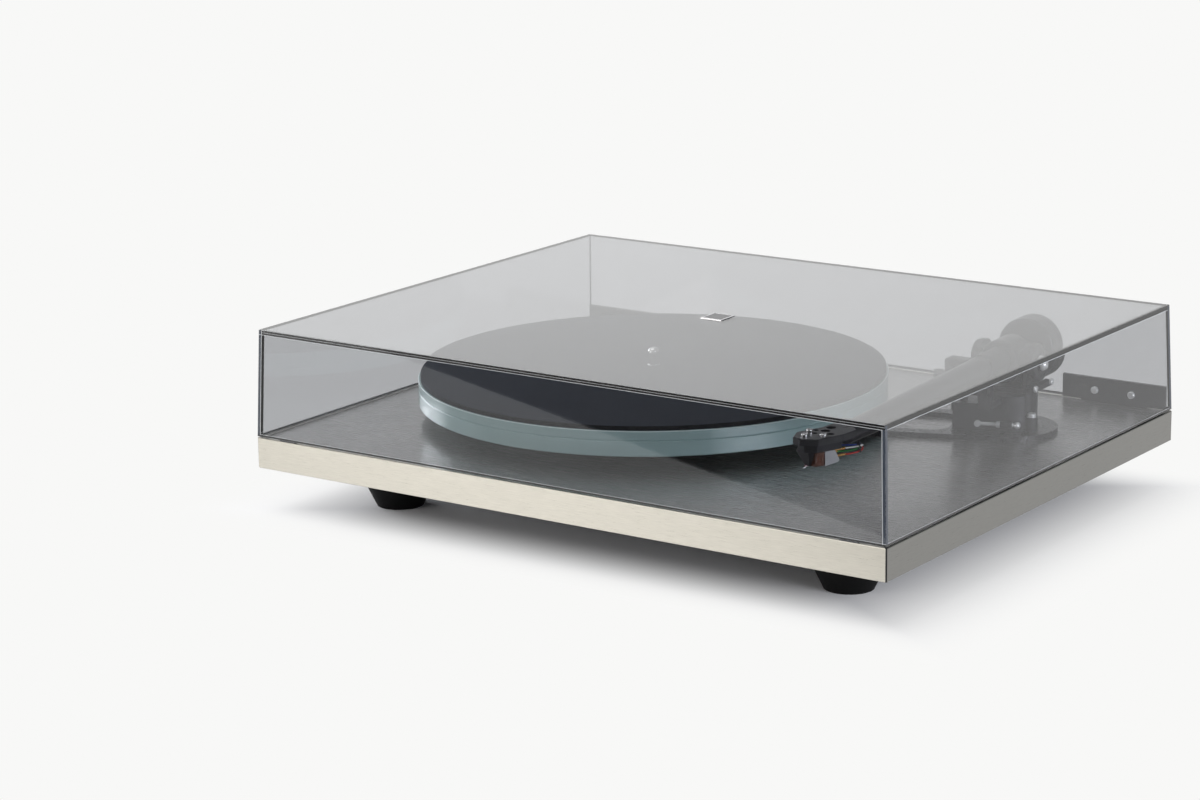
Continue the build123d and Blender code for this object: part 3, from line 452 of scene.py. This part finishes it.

# %% [markdown]
# ## New pieces
# Some things are too thin or too small to be worth a part of their own in the frame: the
# painted highlight and painted dark lines where sheets meet, a dark inlay, four coloured
# wires. They are modelled here and ride on the body they belong to. Each one is built from a
# primitive and its place is then applied, so the object itself stays at the origin and the
# place is in the mesh.

# %% Helpers for new pieces
def plain(name, color, rough):
    """A plain finish for a piece too small to show a pattern of its own, with a faint grain."""
    return grained(name, color, rough, 0.6, 0.004, tone=0.05)


def fasten(piece, name, body, material):
    """Apply the piece's place, name and coat it, and let it ride on a body."""
    bpy.ops.object.transform_apply(location=True, rotation=True, scale=True)
    piece.name = name
    if material:
        piece.data.materials.append(material)
    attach(piece, body)
    return piece


def squeeze(x, y, z):
    """Stretch the new piece in edit mode about its own middle."""
    bpy.ops.object.mode_set(mode="EDIT")
    bpy.ops.mesh.select_all(action="SELECT")
    bpy.ops.transform.resize(value=(x, y, z), center_override=bpy.context.object.location)
    bpy.ops.object.mode_set(mode="OBJECT")


def bar(start, end, across, wide, thick):
    """A straight bar from start to end, its width lying along across: a sheet, extruded."""
    along, side = (end - start).normalized(), across.normalized()
    bpy.ops.object.select_all(action="DESELECT")
    bpy.ops.mesh.primitive_plane_add(size=1.0, location=(0, 0, 0))
    bpy.ops.object.mode_set(mode="EDIT")
    bpy.ops.mesh.select_all(action="SELECT")
    bpy.ops.transform.translate(value=(0, 0, -0.5))
    bpy.ops.mesh.extrude_region_move(TRANSFORM_OT_translate={"value": (0, 0, 1)})
    bpy.ops.mesh.select_all(action="SELECT")
    bpy.ops.mesh.normals_make_consistent(inside=False)
    bpy.ops.object.mode_set(mode="OBJECT")
    turn = Matrix((side, along, side.cross(along))).transposed().to_4x4()
    stretch = Matrix.Diagonal((wide, (end - start).length, thick, 1.0))
    bpy.context.object.matrix_world = Matrix.Translation((start + end) / 2) @ turn @ stretch
    return bpy.context.object


# %% [markdown]
# ## Edges of the cover's sheets
# The cover is glued from flat sheets. Looking into the edge of a sheet, light runs far through
# the dye and is lost, so the edge looks like a dark band as wide as the sheet is thick. That
# darkness is painted here as a near-black strip. Its two arrises, broken with a scraper, and the
# edge of the glue between them catch light. These three bright hairlines are painted highlights:
# light grey strips. The bands lie a tenth of a millimetre under the surface of the cover, and the
# last dark band runs round its foot as painted shade for the gap above the plinth. Each upright
# corner has a painted dark band of its own, with one painted highlight beside it on the front
# and the back.

# %% Edges of the cover
cover_low, cover_high = (Vector(corner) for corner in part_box("dust_cover"))
LEAN = 2.4 * MM             # how far each side leans in from bottom to top
DEPTH_IN = 0.12 * MM        # how deep the lines lie under the surface
LINE_THICK = 0.05 * MM
# On the two sides, which face away from the light, the painted highlights near the top are drawn with the
# painted dark instead.
UNLIT_SIDE_ABOVE = 2.0            # on the two sides, hairlines nearer the top than this stay dark, in mm
STOP_TOP, STOP_FOOT = 0.5 * MM, 1.0 * MM    # how far the corner lines stop from top and foot
# The light grey strips are painted highlights. The two dark finishes paint the darkness of light lost in
# the dye, and the shade in the gap at the foot.
painted_highlight_line = plain("painted_highlight_acrylic_arris", "c9ccd0", 0.4)
painted_dark_edge = plain("painted_dark_acrylic_edge", "08090b", 0.2)
painted_dark_corner = plain("painted_dark_acrylic_corner", "2d3542", 0.25)
# how far below the top edge each line starts and ends, in millimetres
tall = cover_high.z - cover_low.z
TOP_LINES = ((0.0, 0.16, painted_highlight_line), (0.2, 1.5, painted_dark_edge), (1.55, 1.7, painted_highlight_line), (1.75, 2.9, painted_dark_edge),
             (2.95, 3.2, painted_highlight_line), (tall / MM - 1.5, tall / MM - 1.3, painted_highlight_line),
             (tall / MM - 1.25, tall / MM - 0.05, painted_dark_edge))
# how far from the corner, along the front and along the side
FRONT_LINES = ((0.05, 1.7, painted_dark_corner), (1.75, 2.1, painted_highlight_line))
SIDE_LINES = ((0.05, 2.4, painted_dark_corner),)


def cover_point(x_side, y_side, below):
    """A point on the cover's upright corner, so far below its top, just under the surface."""
    inset = LEAN * (1 - below / tall) + DEPTH_IN
    x = cover_high.x - inset if x_side > 0 else cover_low.x + inset
    y = cover_high.y - inset if y_side > 0 else cover_low.y + inset
    return Vector((x, y, cover_high.z - below))


def one_piece(parts, name, body, material):
    """Join several objects into one piece and fasten it."""
    bpy.ops.object.select_all(action="DESELECT")
    for part in parts:
        part.select_set(True)
    bpy.context.view_layer.objects.active = parts[0]
    bpy.ops.object.join()
    return fasten(bpy.context.object, name, body, material)


strips = {painted_highlight_line: [], painted_dark_edge: [], painted_dark_corner: []}
for near, far, material in TOP_LINES:
    at = max((near + far) / 2 * MM, DEPTH_IN)
    ring = [cover_point(x, y, at) for x, y in ((-1, -1), (1, -1), (1, 1), (-1, 1))]
    for start, end in zip(ring, ring[1:] + ring[:1]):
        outward = (start + end) / 2 - object_middle
        sideways = Vector((0, outward.y, 0)) if abs(start.y - end.y) < MM else Vector((outward.x, 0, 0))
        down = sideways.normalized() * LEAN + Vector((0, 0, -tall))
        on_side = abs(start.x - end.x) < MM
        shown = painted_dark_edge if on_side and far < UNLIT_SIDE_ABOVE else material
        strips[shown].append(bar(start, end, down, (far - near) * MM, LINE_THICK))
for x, y in ((-1, -1), (1, -1), (1, 1), (-1, 1)):
    for inward, lines in ((Vector((-x, 0, 0)), FRONT_LINES), (Vector((0, -y, 0)), SIDE_LINES)):
        for near, far, material in lines:
            shift = inward * (near + far) / 2 * MM
            low = cover_point(x, y, tall - STOP_FOOT) + shift
            high = cover_point(x, y, STOP_TOP) + shift
            up = (high - low).normalized()
            across = inward - up * inward.dot(up)
            strips[material].append(bar(low, high, across, (far - near) * MM, LINE_THICK))
for material, parts in strips.items():
    lines = one_piece(parts, "cover_" + material.name, "lid", material)
    print(lines.name, len(parts), "strips")

# %% [markdown]
# ## Badge inlay and glass arris
# The plaque on the cover has a raised metal rim round a dark inlay. The top glass disc has a
# fine ground bevel all round. It is drawn as a pale opaque ring: the bevel's own frosted white
# and a painted highlight, one bright line above the green rim.

# %% Badge inlay and glass arris
INLAY_WIDE, INLAY_DEEP, INLAY_THICK, INLAY_DOWN = 12.8 * MM, 13.8 * MM, 0.1 * MM, 0.12 * MM
badge = middle("lid_badge")
left_end = Vector((badge.x - INLAY_WIDE / 2, badge.y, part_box("lid_badge")[1][2] - INLAY_DOWN))
right_end = left_end + Vector((INLAY_WIDE, 0, 0))
inlay = bar(left_end, right_end, Vector((0, 1, 0)), INLAY_DEEP, INLAY_THICK)
fasten(inlay, "badge_inlay", "lid", plain("dark_enamel", "2a2c33", 0.25))
ARRIS_R, ARRIS_DOWN = 0.3 * MM, 0.25 * MM
disc_low, disc_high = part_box("platter_disc")
bpy.ops.object.select_all(action="DESELECT")
bpy.ops.mesh.primitive_torus_add(major_segments=256, minor_segments=6, minor_radius=ARRIS_R,
                                 major_radius=(disc_high[0] - disc_low[0]) / 2 - ARRIS_R,
                                 location=(hub.x, hub.y, disc_high[2] - ARRIS_DOWN))
squeeze(1.0, 1.0, 0.8)
fasten(bpy.context.object, "glass_arris", "platter",
       plain("ground_glass_bevel_and_painted_highlight", "dfeeee", 0.35))
bpy.ops.object.shade_smooth()
print("badge inlay and glass arris added")

# %% [markdown]
# ## The cartridge
# The cartridge is a small grey body with an amber cover over the coils and a bare metal magnet
# yoke behind. Four signal wires in the usual colours run from its gold pins, loop to the right
# and go into the arm's tube, and a dark tie holds them together.

# %% Cartridge
cartridge_grey = grained("grey_anodised_cartridge", "26262b", 0.35, 0.4, 0.01, metallic=0.5)
coat_parts(cartridge_grey, "cartridge_body")
amber, tree, shader = start_material("amber_moulded_cover")
set_shader(shader, Base_Color=linear("652b10"), Roughness=0.1, Transmission_Weight=0.45, IOR=1.5)
coat_parts(amber, "coil_cover")
coat_parts(grained("plated_magnet_yoke", "98999c", 0.4, 1.2, 0.002, metallic=0.8, tone=0.03), "magnet_yoke")
WIRE_R = 0.42 * MM
# the cartridge's own frame: zero above the stylus on the tube's axis, -Y to its front
HEAD_TURN, HEAD_AT = -21.33, Vector((157.0, -158.95, 92.1)) * MM
head_turn = Matrix.Rotation(math.radians(HEAD_TURN), 3, "Z")


def head(x, y, z):
    """A point in the cartridge's own frame, in millimetres, taken to the shared frame in metres."""
    return HEAD_AT + head_turn @ (Vector((x, y, z)) * MM)


# side of the pin, its height, and the wire's colour
WIRES = ((-1, -5.0, "2f4fa8"), (1, -5.0, "e4e4e0"), (-1, -8.6, "2f9a4c"), (1, -8.6, "c22a22"))
strands = []
for side, height, color in WIRES:
    swing = 8.5 + 1.2 * side
    route = (head(3.8 * side, 25.5, height), head(3.8 * side + 1.0, 31.0, height - 0.2),
             head(swing + 1.5, 34.5 + 1.2 * side, height + 1.8),
             head(swing - 4.0, 38.5, 0.35 * height - 3.2),
             head(swing - 9.5, 41.0, -5.4 - 0.12 * abs(height)))
    bpy.ops.object.select_all(action="DESELECT")
    bpy.ops.curve.primitive_nurbs_path_add()
    strand = bpy.context.object
    for point, place in zip(strand.data.splines[0].points, route):
        point.co = (*place, 1.0)
    strand.data.splines[0].use_endpoint_u = True
    strand.data.bevel_depth = WIRE_R
    strand.data.materials.append(plain("lead_insulation_" + color, color, 0.4))
    bpy.ops.object.convert(target="MESH")
    strands.append(bpy.context.object)
wires = one_piece(strands, "signal_wires", "arm", None)
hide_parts("head_leads")
print("wires:", len(WIRES))

# %% [markdown]
# The wires are tied together behind the cartridge. The cantilever passes through a small red
# rubber damper, squeezed a little flat, where it enters the body.

# %% Tie and damper
TIE_R, TIE_THICK, DAMPER_R = 2.9 * MM, 0.45 * MM, 0.75 * MM
tie_at, tie_way = head(6.5, 34.5, -5.2), head_turn @ Vector((0.35, 1.0, 0.2))
bpy.ops.object.select_all(action="DESELECT")
bpy.ops.mesh.primitive_torus_add(major_segments=32, minor_segments=8, major_radius=TIE_R,
                                 minor_radius=TIE_THICK, location=tie_at,
                                 rotation=tie_way.to_track_quat("Z", "Y").to_euler())
squeeze(0.85, 1.0, 1.0)
fasten(bpy.context.object, "lead_tie", "arm", plain("black_tie", "0e0e10", 0.5))
bpy.ops.object.shade_smooth()
bpy.ops.object.select_all(action="DESELECT")
bpy.ops.mesh.primitive_uv_sphere_add(segments=24, ring_count=12, radius=DAMPER_R,
                                     location=head(0, 2.35, -12.15))
squeeze(1.1, 0.8, 1.0)
fasten(bpy.context.object, "damper_ring", "arm", plain("red_damper_rubber", "c8283a", 0.5))
bpy.ops.object.shade_smooth()
print("tie and damper added")

# %% [markdown]
# ## The lever's grip
# The cueing lever is a bright rod with a black sleeve near its end, so that fingers find it.

# %% Lever grip
LEVER_TURN, LEVER_EYE = 18.8, Vector((149.48, 53.18, 56.9)) * MM    # degrees; where it turns
GRIP_R, GRIP_LONG, GRIP_AT = 2.0 * MM, 7.6 * MM, 17.6 * MM      # grip's middle, from the lever's eye
lever_way = Matrix.Rotation(math.radians(LEVER_TURN), 3, "Z") @ Vector((1, 0, 0))
bpy.ops.object.select_all(action="DESELECT")
bpy.ops.mesh.primitive_cylinder_add(vertices=48, radius=GRIP_R, depth=GRIP_LONG,
                                    location=LEVER_EYE + lever_way * GRIP_AT,
                                    rotation=lever_way.to_track_quat("Z", "Y").to_euler())
grip = bpy.context.object
bpy.ops.object.transform_apply(location=True, rotation=True, scale=True)
rounding = grip.modifiers.new("rounding", "BEVEL")
rounding.width, rounding.segments = 0.3 * MM, 2
bpy.ops.object.modifier_apply(modifier="rounding")
fasten(grip, "lever_grip", "cue_lever", plain("black_rubber_grip", "17171a", 0.35))
print("lever grip added")
